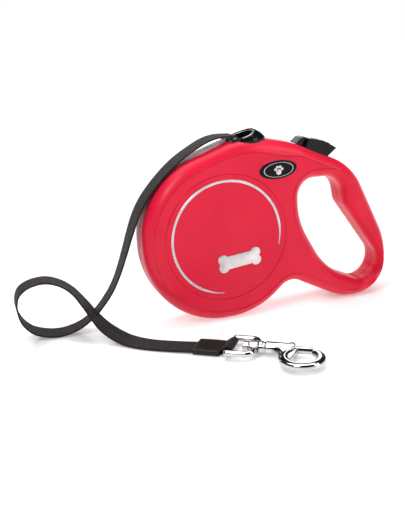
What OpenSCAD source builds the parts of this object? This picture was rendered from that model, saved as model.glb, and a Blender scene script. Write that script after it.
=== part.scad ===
// Retractable tape leash with a reel casing, a looped handle, a sprung brake
// and a swivelling snap hook. Millimetres, +Z up, X along the casing, front to -Y.
// The origin lies under the middle of the casing, on the surface it stands on.

/* [Casing] */
// Half the thickness at the flat faces
casing_half = 17; // [16.5:0.5:18]
// Moulded wall thickness
wall = 2.4; // [2:0.1:2.8]
// Width of the flat band round the rim, each side of the parting line
band = 6; // [5:0.5:7]

/* [Reel] */
// Outer radius of the flanges
flange_r = 50; // [48:0.5:50.5]
// Radius of the wound tape
wound_r = 44; // [38:1:44]
// Number of brake teeth
brake_teeth = 24; // [12:12:24]

/* [Tape] */
// Width of the tape
tape_w = 18; // [16:1:18]
// Thickness of the tape
tape_t = 1.2; // [1:0.1:1.4]

/* [Snap hook] */
// Radius of the shank
shank_r = 4.6; // [4.4:0.1:4.8]
// Radius of the hook's wire
bow_wire_r = 2.8; // [2.4:0.1:3]

/* [Hidden] */
$fn = 64;
eps = 0.01;
// Reel axis, and the brake controls' seat on the casing's top edge
reel_x = -37.5;
reel_z = 65.5;
seat_x = 82;
seat_z = 52.1;
seat_tilt = 25.3;
// Rim: how far the rounding would reach at half_round beyond the band
half_round = 12;
rim_full = casing_half - band;
// Corners of the casing seen from the front: [x, z, radius, rim depth]
casing_corners = [
    [-62.5, -29.8, 61.5, 6], [-25.4, -65.5, 61.5, 8], [24.5, -65.5, 60, 8],
    [53, -41.5, 14, 8], [98, -65.5, 34, 7], [137.5, -65.5, 27, 8],
    [137.5, -22, 60, 9], [108.5, 40.5, 45, 8], [60, 62.5, 70, 9],
    [18, 72.5, 60, 10], [-62.5, 46, 61.5, 6]
];
// Corners of the handle gap
gap_corners = [
    [62.5, 35, 13, 9], [60.5, 5, 60, 7], [85, -40, 60, 6], [131, -62, 14, 7],
    [131.5, -34, 16, 9], [101, 11, 12, 13], [97.5, 34, 16, 12]
];
casing_heart = [55, 10];
gap_heart = [85, 5];
arc_step = 8;
hollow_half = 11.8;
chamber_r = 53;
rim_levels = [0, band, band + 3, band + 6, band + 8.5, band + 10, casing_half];
gap_levels = [-1, band, band + 3, band + 6, band + 8.5, band + 10, casing_half + 0.4];
// Screw bosses, seen from the front, from the reel axis
boss_at = [[-31.5, -47], [47.5, -41.5], [118, 2], [122, -58], [-42, 41]];
boss_r = 4.2;
screw_r = 1.5;
head_r = 2.8;
head_y = 9;
head_t = 2.4;
// Face rings
groove_r = 47.5;
ring_in = 41.4;
ring_out = 43.4;
inlay = 0.6;
badge_at = [42.6, 46];
badge_a = 15.2;
badge_b = 6.9;
emblem_at = [9, -18.5];
// Nozzle, as seen from the reel axis
nozzle_x = 24;
nozzle_r = 15.5;
nozzle_bottom = 57;
nozzle_shoulder = 69;
nozzle_top = 76.8;
dome_rise = nozzle_top - nozzle_shoulder;
dome_r = (pow(nozzle_r, 2) + pow(dome_rise, 2)) / (2 * dome_rise);
well_x = 20;
well_r = 10.5;
roller_at = [13, 69.1];
roller_r = 2.4;
// Reel
axle_r = 3;
boss_end = casing_half - wall - 2.6;
hub_out = 20;
hub_in = 17.5;
flange_t = 1.8;
reel_half = 9.5;
tooth_depth = 3.5;
pawl_angle = 40;
pawl_reach = 52.3;
// Brake
button_half = 9.5;
// Tape run inside the casing
tape_line_r = wound_r + 1;
roller_line_r = roller_r + 0.1 + tape_t / 2;
tape_lean = atan2(roller_at[1], roller_at[0])
    - acos((tape_line_r - roller_line_r) / norm(roller_at));
// Snap hook: where its eye lies on the floor, and which way it points
hook_x = -61.5;
hook_y = -69;
hook_turn = -37;
hook_z = 4.9;
eye_half = 15.5;
eye_end = 22.6;

red = [0.86, 0.07, 0.16];
black = [0.04, 0.04, 0.045];
silver = [0.75, 0.76, 0.78];
steel = [0.6, 0.61, 0.63];
webbing = [0.10, 0.095, 0.09];
bronze = [0.75, 0.6, 0.3];

// ---- Outlines ----
function unit(v) = v / norm(v);
function at2(q) = [q[0], q[1]];
function edge_in(c, i) = unit(at2(c[i]) - at2(c[(i + len(c) - 1) % len(c)]));
function turn_of(u, w) = atan2(u[0] * w[1] - u[1] * w[0], u * w);
function swing(v, a) = [v[0] * cos(a) - v[1] * sin(a), v[0] * sin(a) + v[1] * cos(a)];
// Points round one corner's arc: [x, z, normal x, normal z, rim depth]
function corner_arc(c, i) =
    let (n = len(c), u = edge_in(c, i), w = edge_in(c, (i + 1) % n), a = turn_of(u, w),
         r = c[i][2], s = sign(a), start = at2(c[i]) - u * r * tan(abs(a) / 2),
         mid = start + [-u[1], u[0]] * s * r, k = max(2, ceil(abs(a) / arc_step)),
         d0 = (c[(i + n - 1) % n][3] + c[i][3]) / 2, d1 = (c[i][3] + c[(i + 1) % n][3]) / 2)
    [for (j = [0 : k])
        let (t = j / k, p = mid + swing(start - mid, a * t), q = swing([u[1], -u[0]], a * t))
        [p[0], p[1], q[0], q[1], d0 + (d1 - d0) * t]];
function outline(c) = [for (i = [0 : len(c) - 1]) each corner_arc(c, i)];
function sag(t) = 1 - sqrt(1 - pow(t, 2));
// How much of the rim depth is used up at a distance y from the parting line
function rounding(y) = y <= band ? 0
    : sag((y - band) / half_round) / sag(rim_full / half_round);
// Solid between the levels; side is 1 to draw in with depth, -1 to spread out.
// Its two end faces fan out from heart, a point inside the outline.
module loft(c, heart, levels, side, extra) {
    pts = outline(c);
    n = len(pts);
    m = len(levels);
    v = [for (y = levels) for (p = pts) let (g = side * (rounding(y) * p[4]) + extra)
        [p[0] - p[2] * g, -y, p[1] - p[3] * g]];
    hearts = [for (y = [levels[0], levels[m - 1]]) [heart[0], -y, heart[1]]];
    sides = [for (l = [0 : m - 2]) for (i = [0 : n - 1])
        let (a = l * n + i, b = l * n + (i + 1) % n, d = a + n, e = b + n)
        each [[a, e, b], [a, d, e]]];
    ends = [for (i = [0 : n - 1]) let (j = (i + 1) % n, k = (m - 1) * n)
        each [[m * n, i, j], [m * n + 1, k + j, k + i]]];
    polyhedron(concat(v, hearts), concat(sides, ends));
}
module at_reel() {
    translate([reel_x, 0, reel_z]) children();
}
// Along Y, from y0 to y1, about a point seen from the front
module along_y(p, y0, y1) {
    translate([p[0], y0, p[1]]) rotate([-90, 0, 0]) linear_extrude(y1 - y0) children();
}
module rod(p, r, y0, y1) {
    translate([p[0], y0, p[1]]) rotate([-90, 0, 0]) cylinder(r = r, h = y1 - y0);
}
module tube(p, r_in, r_out, y0, y1) {
    difference() {
        rod(p, r_out, y0, y1);
        rod(p, r_in, y0 - 1, y1 + 1);
    }
}
// A flat shape drawn as seen from the front, from y0 to y1
module plate(y0, y1) {
    translate([0, y1, 0]) rotate([90, 0, 0]) linear_extrude(y1 - y0) children();
}
// Frame of the brake controls: X along the top edge, Z out of the casing
module at_seat() {
    at_reel() translate([seat_x, 0, seat_z]) rotate([0, seat_tilt, 0]) children();
}
function ellipse(a, b, n) = [for (i = [0 : n - 1]) [a * cos(360 * i / n), b * sin(360 * i / n)]];

// ---- Casing ----
module half_shell() {
    difference() {
        loft(casing_corners, casing_heart, rim_levels, 1, 0);
        loft(gap_corners, gap_heart, gap_levels, -1, 0);
        difference() {
            loft(casing_corners, casing_heart, [-1, band, band + 3.5, hollow_half], 1, wall);
            loft(gap_corners, gap_heart, [-2, band, band + 3.5, hollow_half + 0.5], -1, -wall);
            for (p = boss_at) rod(p, boss_r, -casing_half, 4);
            spring_shelf();
        }
        translate([nozzle_x, 0, nozzle_bottom]) cylinder(r = nozzle_r + 0.1, h = 30);
        reel_chamber();
        rod([0, 0], axle_r, -casing_half + wall, 1);
        roller_slot();
        controls_pocket();
    }
}
module face_groove() plate(-casing_half - 1, -casing_half + 0.5) difference() {
    circle(r = groove_r + 0.4);
    circle(r = groove_r - 0.4);
}
module reel_chamber() difference() {
    rod([0, 0], chamber_r, -casing_half + wall, -hollow_half + 0.5);
    rod([0, 0], axle_r + 3, -casing_half, -boss_end);
}
module controls_pocket() {
    translate([seat_x, 0, seat_z]) rotate([0, seat_tilt, 0]) {
        translate([-14.6, -button_half - 0.3, -6]) cube([23.4, 2 * button_half + 0.6, 30]);
        translate([-20.6, -2.3, -6]) cube([6.6, 4.6, 30]);
    }
}
module spring_shelf() {
    translate([seat_x, 0, seat_z]) rotate([0, seat_tilt, 0])
        translate([-6, -casing_half, -12.6]) cube([13, casing_half + 4, 2]);
}
module front_shell() color(red) at_reel() difference() {
    half_shell();
    face_groove();
    plate(-casing_half - 1, -casing_half + inlay) ring_shape();
    plate(-casing_half - 1, -casing_half + inlay) emblem_shape();
    plate(-casing_half - 1, -casing_half + 1.2) badge_shape(0);
    for (p = boss_at) rod(p, screw_r, -casing_half + 4, 1);
}
module rear_shell() color(red) at_reel() difference() {
    mirror([0, 1, 0]) difference() {
        half_shell();
        face_groove();
    }
    for (p = boss_at) {
        rod(p, screw_r + 0.1, -1, casing_half + 1);
        rod(p, head_r + 0.1, head_y, casing_half + 1);
    }
}
module case_screws() color(steel) at_reel() for (p = boss_at) difference() {
    union() {
        rod(p, screw_r - 0.05, -9, head_y);
        rod(p, head_r, head_y, head_y + head_t);
    }
    along_y(p, head_y + 1.2, head_y + head_t + 1) circle(r = 1.3, $fn = 6);
}
module ring_shape() difference() {
    circle(r = ring_out, $fn = 160);
    circle(r = ring_in, $fn = 160);
    polygon([[0, 0], [-4, -60], [60, -60], [60, -16]]);
}
module emblem_shape() translate(emblem_at) rotate(6) {
    translate([-12, -2.2]) square([24, 4.4]);
    for (x = [-13, 13]) for (z = [-3, 3]) translate([x, z]) circle(r = 4);
}
module badge_shape(d, k = 1) translate(badge_at) rotate(1.5)
    polygon(ellipse(k * badge_a - d, k * badge_b - d, 64));
module face_ring() color(silver) at_reel() plate(-casing_half, -casing_half + inlay) ring_shape();
module bone_inlay() color(silver) at_reel() plate(-casing_half, -casing_half + inlay) emblem_shape();
module badge_plate() color(black) at_reel() difference() {
    plate(-casing_half, -casing_half + 1.2) badge_shape(0.05);
    plate(-casing_half - 1, -casing_half + 0.5) badge_line();
    plate(-casing_half - 1, -casing_half + 0.5) paw_shape();
}
module badge_line() difference() {
    badge_shape(0, 0.78);
    badge_shape(0, 0.74);
}
module badge_rim() color(silver) at_reel() plate(-casing_half, -casing_half + 0.5) badge_line();
module paw_shape() translate(badge_at) {
    translate([0, -1.6]) circle(r = 2);
    for (a = [-54, -18, 18, 54]) rotate(a) translate([0, 2.2]) circle(r = 0.95);
}
module badge_paw() color(silver) at_reel() plate(-casing_half, -casing_half + 0.5) paw_shape();

// ---- Nozzle ----
module nozzle() color(black) at_reel() difference() {
    translate([nozzle_x, 0, 0]) intersection() {
        translate([0, 0, nozzle_bottom]) cylinder(r = nozzle_r, h = nozzle_top - nozzle_bottom);
        translate([0, 0, nozzle_top - dome_r]) sphere(r = dome_r);
    }
    translate([well_x, 0, nozzle_shoulder - 5]) cylinder(r = well_r, h = 20);
    roller_slot();
    translate([15, -tape_w / 2 - 0.4, nozzle_bottom - 1]) cube([11, tape_w + 0.8, 12]);
    rod(roller_at, 1, -12, 12);
}
module roller_slot()
    translate([10.5, -tape_w / 2 - 0.4, nozzle_shoulder - 3]) cube([8.5, tape_w + 0.8, 20]);
module mouth_ring() color([0.2, 0.2, 0.21]) at_reel() difference() {
    translate([well_x, 0, nozzle_shoulder - 1]) cylinder(r = well_r - 0.05, h = 5.4);
    translate([well_x, 0, nozzle_shoulder - 2]) cylinder(r = well_r - 0.8, h = 9);
    translate([0, -tape_w / 2 - 0.4, nozzle_shoulder - 3]) cube([19, tape_w + 0.8, 20]);
}
module guide_roller() color(silver) at_reel() tube(roller_at, 1.05, roller_r, -tape_w / 2, tape_w / 2);
module roller_pin() color(steel) at_reel() rod(roller_at, 1, -9.8, 9.8);

// ---- Brake ----
module brake_button() color(black) at_seat() difference() {
    union() {
        plate(-button_half, button_half)
            polygon([[-14.2, -5], [-14.2, 7.6], [-9, 8.6], [-3, 9.4], [4, 9.4], [10.6, 8.6],
                [6.2, 0.4], [6.2, -5]]);
        translate([-14.2, -4, -7.6]) cube([5, 15.4, 2.6 + eps]);
    }
    translate([0.5, 0, -6]) cylinder(r = 3.9, h = 7);
    for (x = [-6, 8.6]) translate([x, -button_half - 1, 9]) cube([0.6, 2 * button_half + 2, 2]);
}
module button_grip() color([0.12, 0.12, 0.125]) at_seat()
    for (x = [-2.8, -1, 0.8, 2.6]) translate([x, -7, 9.4]) cube([1.1, 14, 0.5]);
module coil(r, wire, length, turns) {
    steps = 12;
    n = turns * steps;
    v = [for (i = [0 : n]) for (k = [0 : 5])
        let (a = 360 * i / steps, q = r + wire * cos(60 * k))
        [q * cos(a), q * sin(a), wire + (length - 2 * wire) * i / n + wire * sin(60 * k)]];
    polyhedron(v, concat([[for (k = [5 : -1 : 0]) k]],
        [for (i = [0 : n - 1]) for (k = [0 : 5])
            let (a = i * 6 + k, b = i * 6 + (k + 1) % 6) each [[a, b + 6, a + 6], [a, b, b + 6]]],
        [[for (k = [0 : 5]) n * 6 + k]]));
}
module button_spring() color(steel) at_seat() translate([0.5, 0, -10.6]) coil(3.1, 0.4, 10.5, 5);
module lock_slider() color(black) at_seat() {
    plate(-6, 6) polygon([[-20.8, 2.4], [-20.4, 4.8], [-18.6, 6.7], [-14.9, 7.2], [-14.9, 2.4]]);
    translate([-17.5, -2, -4]) cube([2.5, 4, 6.4 + eps]);
}
module slider_spring() color(steel) at_seat() translate([-20.6, -2, -5]) cube([0.3, 4, 6]);
module brake_pawl() color(steel) at_reel() rotate([0, -pawl_angle, 0]) {
    translate([pawl_reach + 3, 9.5, -3]) cube([26, 1.8, 6]);
    translate([pawl_reach, 9.5, -1.6]) cube([4, 1.8, 3.2]);
    translate([pawl_reach + 24, -3, -3]) cube([5, 14.3, 6]);
}

// ---- Reel ----
module axle() color(steel) at_reel() rod([0, 0], axle_r, -casing_half + wall, casing_half - wall);
module axle_clip() color(steel) at_reel()
    tube([0, 0], axle_r, axle_r + 1.6, boss_end - 0.6, boss_end);
module front_bush() color(bronze) at_reel()
    tube([0, 0], axle_r + 0.05, axle_r + 1.2, -reel_half - flange_t, -reel_half);
module rear_bush() color(bronze) at_reel()
    tube([0, 0], axle_r + 0.05, axle_r + 1.2, reel_half - 2, reel_half + flange_t);
module spring_arbor() color(silver) at_reel() difference() {
    tube([0, 0], axle_r, axle_r + 2.6, -reel_half + 0.5, reel_half - 2.5);
    translate([axle_r - 1, -reel_half, -0.4]) cube([6, 2 * reel_half, 0.8]);
}
module power_spring() color(steel) at_reel() {
    turns = 5;
    n = turns * 18;
    r0 = axle_r + 3.4;
    r1 = hub_in - 0.5;
    half = 0.25;
    line = [for (i = [0 : n]) let (a = 360 * turns * i / n, r = r0 + (r1 - r0) * i / n) [r, a]];
    plate(-reel_half + 1, reel_half - 3) polygon(concat(
        [for (q = line) (q[0] + half) * [cos(q[1]), sin(q[1])]],
        [for (i = [n : -1 : 0]) (line[i][0] - half) * [cos(line[i][1]), sin(line[i][1])]]));
}
module toothed_disc() difference() {
    circle(r = flange_r, $fn = 192);
    for (i = [0 : brake_teeth - 1]) rotate(pawl_angle + i * 360 / brake_teeth)
        polygon([[flange_r - tooth_depth, -2.8], [flange_r + 2, -4.2],
            [flange_r + 2, 4.2], [flange_r - tooth_depth, 2.8]]);
}
module reel_drum() color([0.16, 0.16, 0.17]) at_reel() difference() {
    union() {
        plate(reel_half, reel_half + flange_t) toothed_disc();
        rod([0, 0], hub_out, -reel_half, reel_half);
    }
    rod([0, 0], hub_in, -reel_half - 1, reel_half - 2.2);
    rod([0, 0], axle_r + 1.2, -reel_half - 1, reel_half + flange_t + 1);
    rod([(hub_in + hub_out) / 2, 0], 0.7, -reel_half - 1, reel_half - 2);
}
module reel_flange() color([0.16, 0.16, 0.17]) at_reel() difference() {
    rod([0, 0], flange_r, -reel_half - flange_t, -reel_half);
    rod([0, 0], hub_in, -reel_half - flange_t - 1, 0);
    for (a = [0 : 60 : 300]) rod([33 * cos(a), 33 * sin(a)], 6, -reel_half - flange_t - 1, 0);
}
module hub_lid() color([0.3, 0.3, 0.31]) at_reel()
    tube([0, 0], axle_r + 1.2, hub_in, -reel_half - flange_t, -reel_half);
module wound_tape() color(webbing) at_reel() tube([0, 0], hub_out, wound_r, -tape_w / 2, tape_w / 2);
module tape_pin() color(steel) at_reel()
    rod([(hub_in + hub_out) / 2, 0], 0.7, -reel_half, reel_half - 2.2);

// ---- Tape ----
// A flat band drawn as seen from the front: its line is [x, z, normal x, normal z]
module ribbon(line, t) polygon(concat(
    [for (p = line) [p[0] + p[2] * t / 2, p[1] + p[3] * t / 2]],
    [for (i = [len(line) - 1 : -1 : 0])
        [line[i][0] - line[i][2] * t / 2, line[i][1] - line[i][3] * t / 2]]));
function arc_line(c, r, a0, a1, n) = [for (i = [0 : n]) let (a = a0 + (a1 - a0) * i / n)
    [c[0] + r * cos(a), c[1] + r * sin(a), cos(a), sin(a)]];
module inner_tape() color(webbing) at_reel() plate(-tape_w / 2, tape_w / 2) ribbon(concat(
    arc_line([0, 0], tape_line_r, tape_lean - 24, tape_lean, 4),
    arc_line(roller_at, roller_line_r, tape_lean, 90, 6)), tape_t);
// The tape outside: [x, y, z, turn of its width in plan]
tape_route = [
    [-24.5, 0, 137.7, 0], [-36, 0, 138.2, 0], [-46, 0, 136, 0], [-57, 0, 130.8, 0],
    [-68.5, 0, 124, 0], [-79, 0, 115.5, 0], [-89, 0, 105.5, 0], [-96.5, 0, 96, 0],
    [-102.5, 0, 85, 0], [-107.5, 1, 72, 2], [-112, 2, 59, 4], [-117, 3, 46, 6],
    [-122.5, 5, 34, 8], [-129.5, 8, 23, 10], [-137, 12, 13.5, 12], [-147, 16, 5.5, 12],
    [-159, 19, 1.4, 10], [-170, 20, 2, 8], [-181, 20, 6.5, 6], [-188.5, 20, 15, 4],
    [-191.5, 19, 26, 2], [-190.5, 18, 35, 2], [-186.5, 16, 41, 2], [-179, 14, 45, 4],
    [-169, 12, 46, 6], [-159, 10, 42.5, 8], [-151, 8, 36, 12], [-144.5, 5, 27, 18],
    [-138, 0, 16.5, 24], [-131, -8, 8, 32], [-121, -19.5, 2.2, 37], [-110, -32, 1, 38],
    [-96, -43.6, 1.1, 37.5], [-80, -55.1, 1.5, 37]
];
// Smooth points through the route
function spline(p, i, t) =
    let (a = p[max(i - 1, 0)], b = p[i], c = p[i + 1], d = p[min(i + 2, len(p) - 1)])
    0.5 * (2 * b + t * (c - a) + t * t * (2 * a - 5 * b + 4 * c - d)
        + t * t * t * (3 * b - a - 3 * c + d));
tape_line = concat(
    [for (i = [0 : len(tape_route) - 2]) for (t = [0, 0.5]) spline(tape_route, i, t)],
    [tape_route[len(tape_route) - 1]]);
function at3(q) = [q[0], q[1], q[2]];
module leash_tape() color(webbing) {
    n = len(tape_line);
    v = [for (i = [0 : n - 1])
        let (p = at3(tape_line[i]), a = tape_line[i][3],
             t = unit(at3(tape_line[min(i + 1, n - 1)]) - at3(tape_line[max(i - 1, 0)])),
             w0 = [sin(a), cos(a), 0], w = unit(w0 - t * (w0 * t)), m = cross(t, w))
        each [p + w * tape_w / 2 + m * tape_t / 2, p - w * tape_w / 2 + m * tape_t / 2,
              p - w * tape_w / 2 - m * tape_t / 2, p + w * tape_w / 2 - m * tape_t / 2]];
    polyhedron(v, concat([[0, 1, 2, 3]],
        [for (i = [0 : n - 2]) for (k = [0 : 3])
            let (a = i * 4 + k, b = i * 4 + (k + 1) % 4) each [[a, a + 4, b + 4], [a, b + 4, b]]],
        [[for (k = [3 : -1 : 0]) (n - 1) * 4 + k]]));
}

// ---- Snap hook ----
module at_hook() {
    translate([hook_x, hook_y, hook_z]) rotate([0, 0, hook_turn]) children();
}
module along_hook(r, x0, x1) {
    translate([x0, 0, 0]) rotate([0, 90, 0]) cylinder(r = r, h = x1 - x0);
}
module tape_loop() color(webbing) at_hook() {
    inner = 2.9;
    outer = inner + tape_t;
    translate([3, 0, 0]) plate(-tape_w / 2, tape_w / 2) difference() {
        union() {
            circle(r = outer);
            polygon([[0, outer], [-3, 2.8], [-6.2, -1.6], [-24, -2.2], [-26, -2.6], [-26, -4.2],
                [-8, -4.2], [0, -outer]]);
        }
        circle(r = inner);
        polygon([[0, inner], [-2.3, 1.9], [-5, -2.1], [-6, -2.8], [0, -inner]]);
    }
}
module tape_sleeve() color([0.06, 0.045, 0.04]) at_hook() difference() {
    translate([-22.5, -10.4, -4.8]) cube([19.6, 20.8, 4.3]);
    translate([-24, -tape_w / 2 - 0.1, -4.4]) cube([30, tape_w + 0.2, 3.5]);
}
// Rectangle with two rounded corners at its far end
module stirrup(x0, x1, half, r) {
    translate([x0, -half]) square([x1 - r - x0, 2 * half]);
    translate([x0, r - half]) square([x1 - x0, 2 * (half - r)]);
    for (y = [r - half, half - r]) translate([x1 - r, y]) circle(r = r);
}
module swivel_eye() color(silver) at_hook() difference() {
    union() {
        translate([3, -eye_half, 0]) rotate([-90, 0, 0]) cylinder(r = 2.6, h = 2 * eye_half);
        translate([0, 0, -2.2]) linear_extrude(4.4) difference() {
            stirrup(3, eye_end, eye_half, 5);
            stirrup(2, eye_end - 4.4, eye_half - 4.4, 2.5);
        }
        along_hook(4.6, eye_end - 6.4, eye_end);
    }
    along_hook(2.05, 10, 30);
}
module swivel_post() color(silver) at_hook() {
    along_hook(4, eye_end - 11, eye_end - 6.8);
    along_hook(2, eye_end - 6.8, 24);
}
module hook_body() color(silver) at_hook() difference() {
    union() {
        along_hook(shank_r + 0.3, eye_end + 0.4, 25.8);
        along_hook(shank_r - 0.5, 25.8, 28);
        along_hook(shank_r, 28, 48);
        translate([55, -13.5, 0]) rotate_extrude(angle = 300, start = 120) {
            for (r = [11.6, 13.2]) translate([r, 0]) circle(r = bow_wire_r);
            translate([11.6, -bow_wire_r]) square([1.6, 2 * bow_wire_r]);
        }
        translate([41.8, -13.5, 0]) sphere(r = bow_wire_r);
        translate([36, -1.5, 0]) rotate([0, 90, -64]) cylinder(r = bow_wire_r, h = 13.4);
        translate([0, 0, -2.4]) linear_extrude(4.8)
            polygon([[34, -3], [51, -3], [50, -8], [49.8, -14], [48.5, -20], [43, -16], [38, -8]]);
    }
    along_hook(2, 20, 24);
    along_hook(2.6, 30, 60);
    translate([34, 0, -1.4]) cube([12, 10, 2.8]);
}
module hook_plunger() color(silver) at_hook() along_hook(2.5, 38, 60.2);
module thumb_knob() color(silver) at_hook() translate([44, 0, 0]) {
    translate([0, 2.5, 0]) rotate([-90, 0, 0]) cylinder(r = 1.3, h = 4);
    translate([0, 5.4, 0]) rotate([-90, 0, 0]) cylinder(r = 2.7, h = 2.6);
}
module plunger_spring() color(steel) at_hook()
    translate([30.2, 0, 0]) rotate([0, 90, 0]) coil(1.9, 0.3, 7.6, 5);

front_shell();
rear_shell();
case_screws();
badge_plate();
badge_rim();
badge_paw();
face_ring();
bone_inlay();
nozzle();
mouth_ring();
guide_roller();
roller_pin();
brake_button();
button_grip();
button_spring();
lock_slider();
slider_spring();
brake_pawl();
axle();
axle_clip();
front_bush();
rear_bush();
spring_arbor();
power_spring();
reel_drum();
reel_flange();
hub_lid();
wound_tape();
tape_pin();
inner_tape();
leash_tape();
tape_loop();
tape_sleeve();
swivel_eye();
swivel_post();
hook_body();
hook_plunger();
thumb_knob();
plunger_spring();
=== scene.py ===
import math
import bmesh
import bpy
from mathutils import Matrix, Quaternion, Vector


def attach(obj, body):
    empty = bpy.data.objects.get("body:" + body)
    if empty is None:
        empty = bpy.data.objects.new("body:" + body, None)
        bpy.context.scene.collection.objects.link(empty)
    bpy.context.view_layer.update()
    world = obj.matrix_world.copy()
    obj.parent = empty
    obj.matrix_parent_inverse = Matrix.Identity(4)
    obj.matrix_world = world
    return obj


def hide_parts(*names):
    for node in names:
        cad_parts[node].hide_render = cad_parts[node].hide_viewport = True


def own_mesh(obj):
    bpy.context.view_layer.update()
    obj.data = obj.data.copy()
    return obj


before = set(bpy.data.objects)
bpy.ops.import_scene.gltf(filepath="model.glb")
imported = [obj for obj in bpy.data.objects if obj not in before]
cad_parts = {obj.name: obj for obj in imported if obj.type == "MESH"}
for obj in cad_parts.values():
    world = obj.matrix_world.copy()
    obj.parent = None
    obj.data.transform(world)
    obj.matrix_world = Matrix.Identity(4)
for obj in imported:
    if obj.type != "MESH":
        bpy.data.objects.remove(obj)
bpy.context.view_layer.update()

MM = 0.001
REEL = Vector((-37.5, 0.0, 65.5))  # reel axis, in mm like every drawn size below
SEAT = Vector((82.0, 0.0, 52.1))  # the brake controls, from the reel axis
SEAT_TILT = math.radians(25.3)
HOOK = Vector((-61.5, -69, 4.9))
HOOK_TURN = math.radians(-37)
NOZZLE_X, NARROW = 24, 0.87  # the nozzle's axis, and its depth against its length


# ---- Camera ----
def make_camera():
    data = bpy.data.cameras.new("view")
    data.lens = 56.25
    data.sensor_width = 36
    data.dof.use_dof = False
    cam = bpy.data.objects.new("view", data)
    bpy.context.collection.objects.link(cam)
    azimuth, elevation = math.radians(-18.9), math.radians(17.0)
    back = Vector((math.sin(azimuth) * math.cos(elevation),
                   -math.cos(azimuth) * math.cos(elevation), math.sin(elevation)))
    cam.location = Vector((-0.0519, 0.0, 0.0492)) + back * 0.605
    cam.rotation_mode = "QUATERNION"
    roll = Quaternion((0, 0, 1), math.radians(-3.4))
    cam.rotation_quaternion = (-back).to_track_quat("-Z", "Y") @ roll
    bpy.context.scene.camera = cam


make_camera()


# ---- Mesh helpers ----
def new_object(name, bm, smooth=True, sharp=35.0):
    bmesh.ops.recalc_face_normals(bm, faces=bm.faces)
    mesh = bpy.data.meshes.new(name)
    bm.to_mesh(mesh)
    bm.free()
    mesh.transform(Matrix.Scale(MM, 4))
    if smooth:
        mesh.shade_smooth()
        mesh.set_sharp_from_angle(angle=math.radians(sharp))
    obj = bpy.data.objects.new(name, mesh)
    bpy.context.collection.objects.link(obj)
    return obj


# Four frames that the drawn sizes are in: the reel's, the brake controls', the hook's and the nozzle's
def at_reel(p):
    return Vector(p) + REEL


def at_seat(p):
    return Matrix.Rotation(SEAT_TILT, 4, "Y") @ Vector(p) + SEAT + REEL


def at_hook(p):
    return Matrix.Rotation(HOOK_TURN, 4, "Z") @ Vector(p) + HOOK


def at_nozzle(p):
    """About the dome's axis; the dome is a little narrower than it is long."""
    return at_reel((p[0] + NOZZLE_X, p[1] * NARROW, p[2]))


def rings_mesh(bm, rings, closed=False):
    """Joins rings of equal length: the last to the first if closed, or else with a cap at each end."""
    made = [[bm.verts.new(p) for p in ring] for ring in rings]
    n = len(made[0])
    pairs = list(zip(made, made[1:]))
    if closed:
        pairs.append((made[-1], made[0]))
    for a, b in pairs:
        for i in range(n):
            j = (i + 1) % n
            bm.faces.new((a[i], a[j], b[j], b[i]))
    if not closed:
        bm.faces.new(list(reversed(made[0])))
        bm.faces.new(made[-1])


def lathe(profile, place, axis="Z", steps=96):
    """Solid of revolution: the profile is (radius, height) from one end to the other."""
    bm = bmesh.new()
    rings = []
    for r, h in profile:
        ring = []
        for i in range(steps):
            a = 2 * math.pi * i / steps
            u, v = r * math.cos(a), r * math.sin(a)
            p = {"Z": (u, v, h), "Y": (v, h, u), "X": (h, u, v)}[axis]
            ring.append(place(p))
        rings.append(ring)
    rings_mesh(bm, rings)
    return bm


def tube_ring(profile, place, steps=160):
    """Sweeps a closed (radius, depth) profile all the way round the Y axis."""
    bm = bmesh.new()
    rings = []
    for i in range(steps):
        a = 2 * math.pi * i / steps
        rings.append([place((r * math.cos(a), h, r * math.sin(a))) for r, h in profile])
    rings_mesh(bm, rings, closed=True)
    return bm


def prism(points, y0, y1, place):
    """A flat outline [x, z] drawn as seen from the front, from y0 to y1."""
    bm = bmesh.new()
    rings_mesh(bm, [[place((x, y, z)) for x, z in points] for y in (y0, y1)])
    return bm


def block(x, y, z, place):
    return prism([(x[0], z[0]), (x[1], z[0]), (x[1], z[1]), (x[0], z[1])], y[0], y[1], place)


def join(*parts):
    whole = bmesh.new()
    for bm in parts:
        mesh = bpy.data.meshes.new("joining")
        bm.to_mesh(mesh)
        bm.free()
        whole.from_mesh(mesh)
        bpy.data.meshes.remove(mesh)
    return whole


def cut(obj, *cutters):
    """Takes each cutter away from the object, one after another."""
    for bm in cutters:
        tool = new_object("cutter", bm, smooth=False)
        mod = obj.modifiers.new("cut", "BOOLEAN")
        mod.operation = "DIFFERENCE"
        mod.solver = "MANIFOLD"
        mod.object = tool
        flatten(obj)
        bpy.data.objects.remove(tool)


def flatten(obj):
    """Applies every modifier."""
    graph = bpy.context.evaluated_depsgraph_get()
    mesh = bpy.data.meshes.new_from_object(obj.evaluated_get(graph))
    obj.modifiers.clear()
    old, obj.data = obj.data, mesh
    bpy.data.meshes.remove(old)


def soften(obj, width, sharp=30.0, segments=3):
    """Rounds the edges, and keeps flat faces looking flat."""
    mesh = obj.data
    mesh.shade_smooth()
    bevel = obj.modifiers.new("round", "BEVEL")
    bevel.width = width * MM
    bevel.segments = segments
    bevel.limit_method = "ANGLE"
    bevel.angle_limit = math.radians(sharp)
    bevel.miter_outer = "MITER_ARC"
    bevel.use_clamp_overlap = True
    even(obj)


def even(obj):
    weight = obj.modifiers.new("even", "WEIGHTED_NORMAL")
    weight.keep_sharp = True
    weight.weight = 60


def catmull(points, per):
    out = []
    n = len(points)
    for i in range(n - 1):
        a, b = Vector(points[max(i - 1, 0)]), Vector(points[i])
        c, d = Vector(points[i + 1]), Vector(points[min(i + 2, n - 1)])
        for k in range(per):
            t = k / per
            out.append(0.5 * (2 * b + t * (c - a) + t * t * (2 * a - 5 * b + 4 * c - d)
                              + t ** 3 * (3 * b - a - 3 * c + d)))
    out.append(Vector(points[-1]))
    return out


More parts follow.
